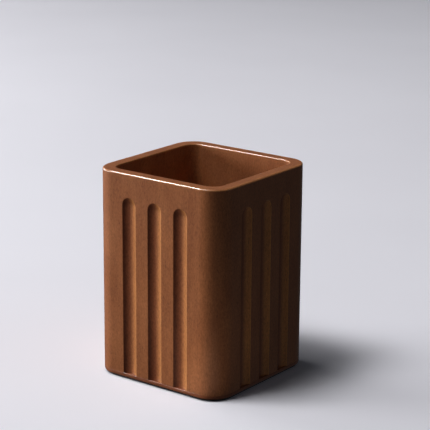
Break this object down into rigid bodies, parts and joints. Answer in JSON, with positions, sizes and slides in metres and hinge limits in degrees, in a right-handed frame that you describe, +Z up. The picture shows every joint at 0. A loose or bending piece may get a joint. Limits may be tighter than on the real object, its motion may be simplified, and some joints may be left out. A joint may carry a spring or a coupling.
{
  "type": "pen holder cup",
  "caption": "Square desk cup with rounded corners and fluted hardwood sides, open at the top, that holds pens and pencils upright.",
  "frame": {"origin": "centre of the flat face that the cup stands on", "axes": "+Z up through the mouth, X and Y square to the four sides"},
  "size_m": [0.08, 0.08, 0.11],
  "materials": {
    "body_wood": "saddle-brown stained close-grained hardwood under a satin lacquer",
    "base_wood": "the same stained hardwood, satin lacquer",
    "cork": "fine pressed cork sheet, matte",
    "grip_rubber": "thin black non-slip rubber sheet, matte"
  },
  "bodies": {
    "root": {"cup_body": "body_wood", "base_plate": "base_wood", "floor_pad": "cork", "grip_pad": "grip_rubber"}
  },
  "joints": []
}
